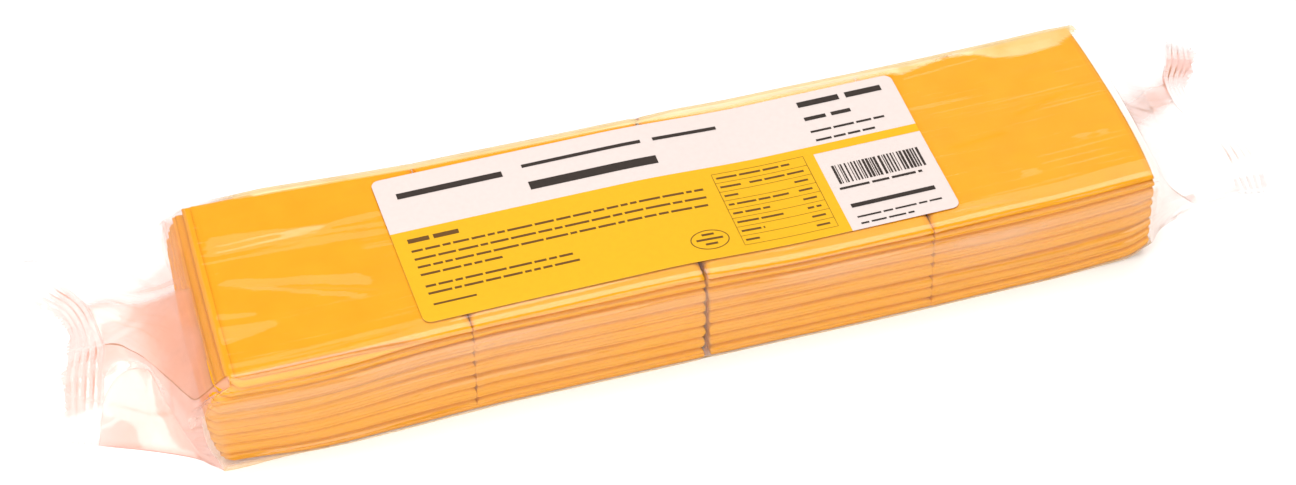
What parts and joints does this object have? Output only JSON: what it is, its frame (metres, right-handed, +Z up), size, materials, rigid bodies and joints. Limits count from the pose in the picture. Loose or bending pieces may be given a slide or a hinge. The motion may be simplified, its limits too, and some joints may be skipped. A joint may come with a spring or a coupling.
{
  "type": "pack of sliced cheese",
  "caption": "Long clear film pack of square processed cheese slices in neighbouring stacks, with a printed label on top and a crimped film tail at each end.",
  "frame": {"origin": "middle of the flat underside of the cheese block, below the middle seam between two stacks", "axes": "+X along the pack towards the shorter film tail, +Y across it towards the white band of the label, +Z up"},
  "size_m": [0.43, 0.1032, 0.041],
  "materials": {
    "cheese": "smooth, slightly waxy orange-yellow processed cheese",
    "film": "thin clear plastic film, glossy, creased",
    "label_paper": "satin coated paper",
    "label_yellow": "printed yellow field on satin coated paper",
    "label_ink": "dark brown print on satin coated paper"
  },
  "bodies": {
    "root": {"wrapped_pack": "cheese", "label": "label_paper"}
  },
  "joints": []
}
